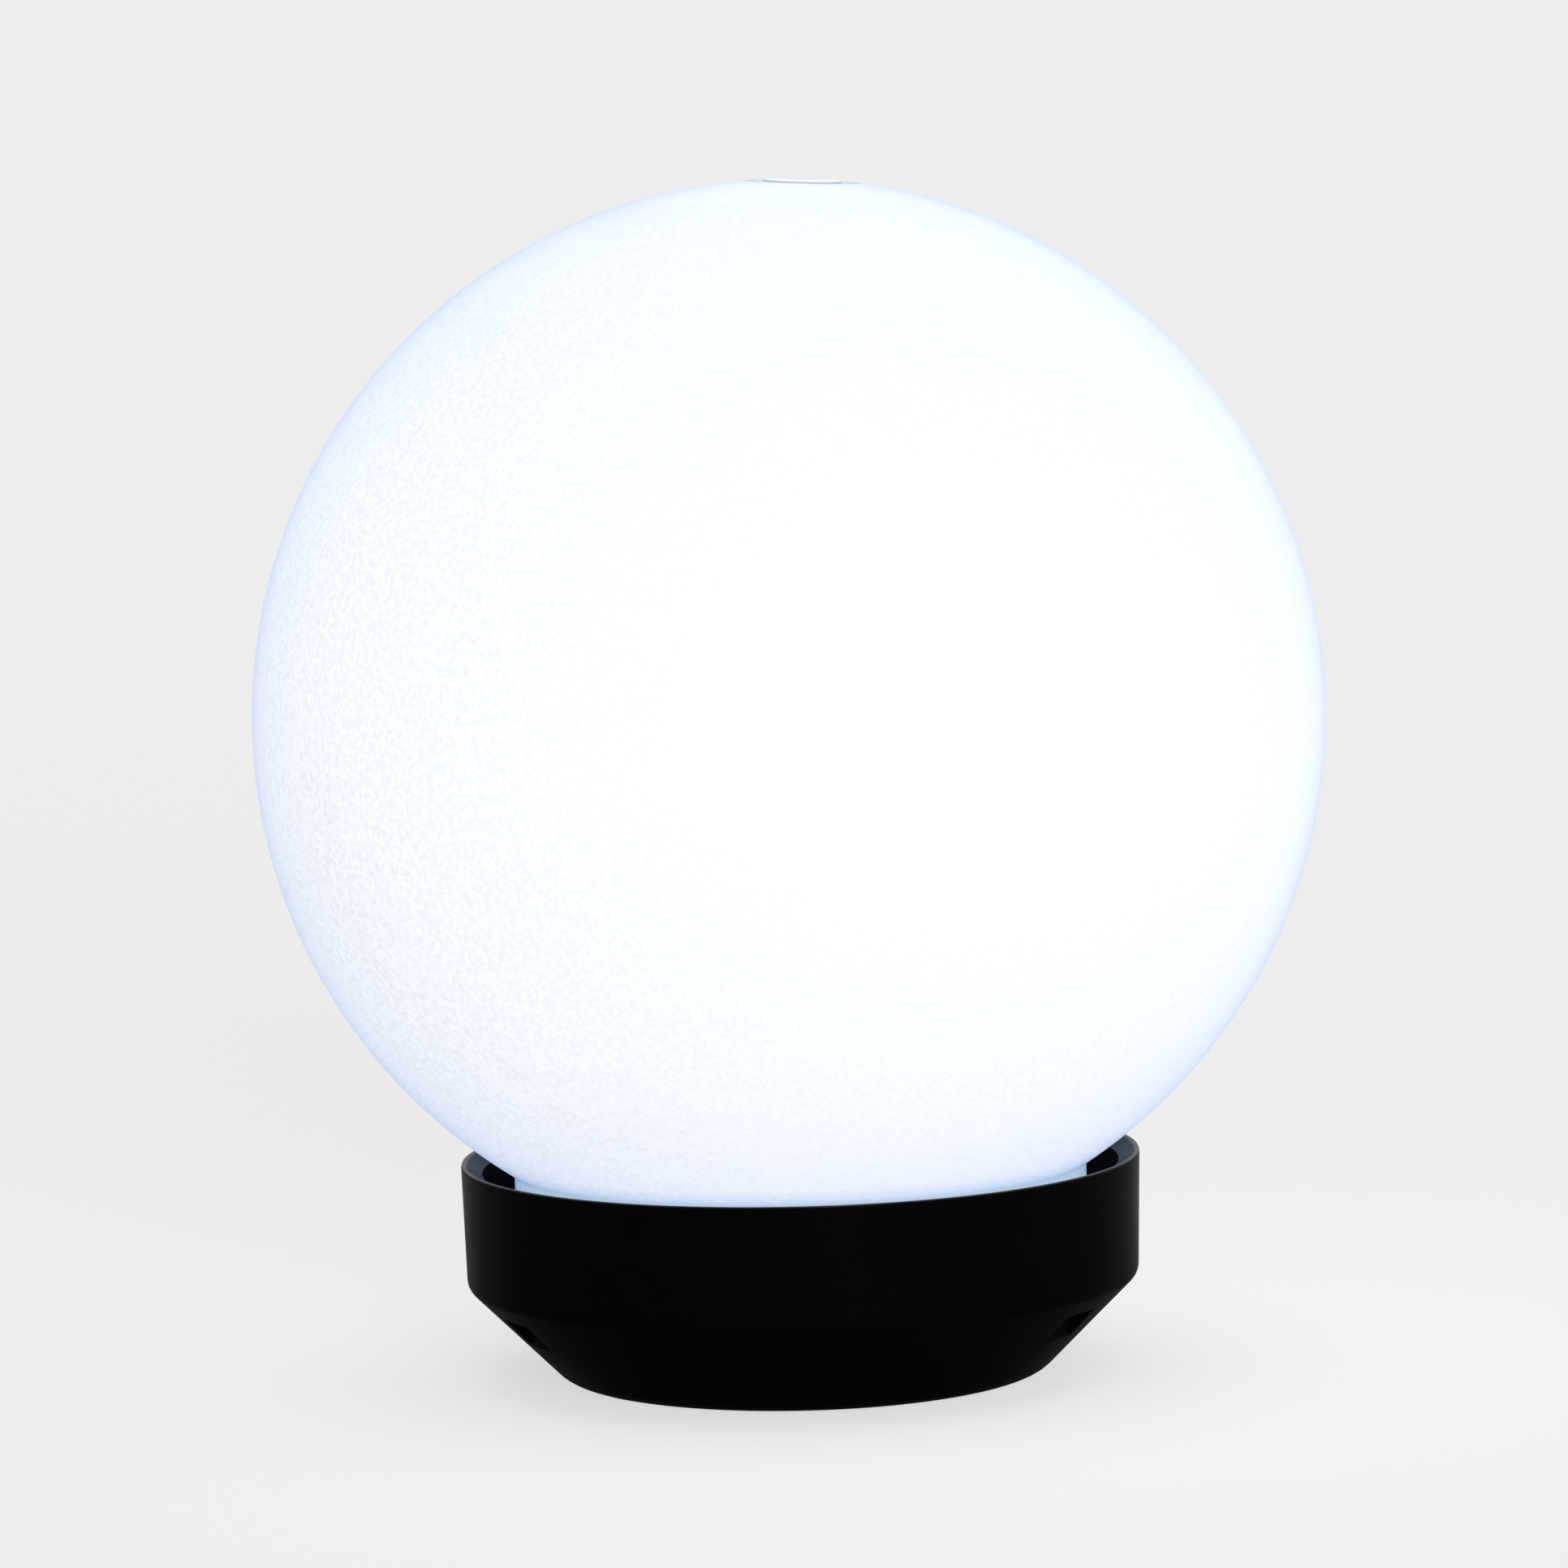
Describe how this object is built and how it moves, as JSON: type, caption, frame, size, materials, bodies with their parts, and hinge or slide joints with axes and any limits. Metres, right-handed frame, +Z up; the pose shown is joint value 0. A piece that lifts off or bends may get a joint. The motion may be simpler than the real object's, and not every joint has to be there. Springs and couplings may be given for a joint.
{
  "type": "outdoor post light",
  "caption": "Frosted globe light on a black conical base that fixes to the top of a post or pillar; the globe turns in a bayonet collar and holds a screw-in lamp.",
  "frame": {"origin": "centre of the base's flat underside, where it stands on the post", "axes": "+Z up, along the light's centre line; -Y towards the front"},
  "size_m": [0.2, 0.2, 0.2242],
  "materials": {
    "globe": "frosted white acrylic, lit from inside",
    "base": "moulded black, satin",
    "foam": "closed-cell foam",
    "seal": "moulded rubber",
    "fitting": "moulded nylon",
    "lampholder": "moulded heat-proof plastic",
    "ceramic": "glazed steatite",
    "brass": "plain brass",
    "steel": "zinc-plated steel",
    "screw": "zinc-plated steel",
    "lead_brown": "PVC insulation",
    "lead_blue": "PVC insulation",
    "lead_green": "PVC insulation, green and yellow",
    "bulb": "frosted plastic, lit",
    "housing": "moulded white",
    "cap": "rolled nickel-plated thread",
    "insulator": "black",
    "led_board": "white solder mask",
    "led": "phosphor",
    "circuit": "green solder mask"
  },
  "bodies": {
    "base": {"base_housing": "base", "base_gasket": "foam", "neck_gasket": "seal", "cable_grommet": "seal", "cord_grip": "fitting", "cord_grip_screws": "screw", "terminal_block": "fitting", "terminal_inserts": "brass", "terminal_screws": "screw", "terminal_block_screw": "screw", "holder_bracket": "steel", "bracket_screws": "screw", "holder_nipple": "brass", "nipple_nut": "screw", "holder_cap": "lampholder", "holder_insert": "ceramic", "holder_terminals": "brass", "holder_terminal_screws": "screw", "holder_sleeve": "lampholder", "side_contact": "brass", "contact_spring": "brass", "lead_live": "lead_brown", "lead_neutral": "lead_blue", "lead_earth": "lead_green", "earth_tab": "steel", "earth_screw": "screw", "earth_nut": "screw"},
    "globe": {"globe_shell": "globe"},
    "contact": {"contact_button": "brass"},
    "bulb": {"bulb_envelope": "bulb", "bulb_housing": "housing", "bulb_cap": "cap", "bulb_insulator": "insulator", "bulb_tip": "screw", "led_board": "led_board", "led_chips": "led", "driver_board": "circuit", "driver_parts": "insulator"}
  },
  "joints": [
    {"name": "globe_turn", "type": "hinge", "parent": "base", "child": "globe", "pos_m": [0, 0, 0.041], "axis": [0, 0, 1], "range_deg": [0, 103.5]},
    {"name": "contact_follow", "type": "slide", "parent": "base", "child": "contact", "axis": [0, 0, 1], "range_m": [0, 0.00182], "deforming": ["contact_spring"]},
    {"name": "bulb_turn", "type": "hinge", "parent": "contact", "child": "bulb", "pos_m": [0, 0, 0.064], "axis": [0, 0, 1], "range_deg": [0, 180]}
  ],
  "couplings": [
    {"joint": "contact_follow", "follows": "bulb_turn", "m_per_rad": 0.00057757}
  ]
}
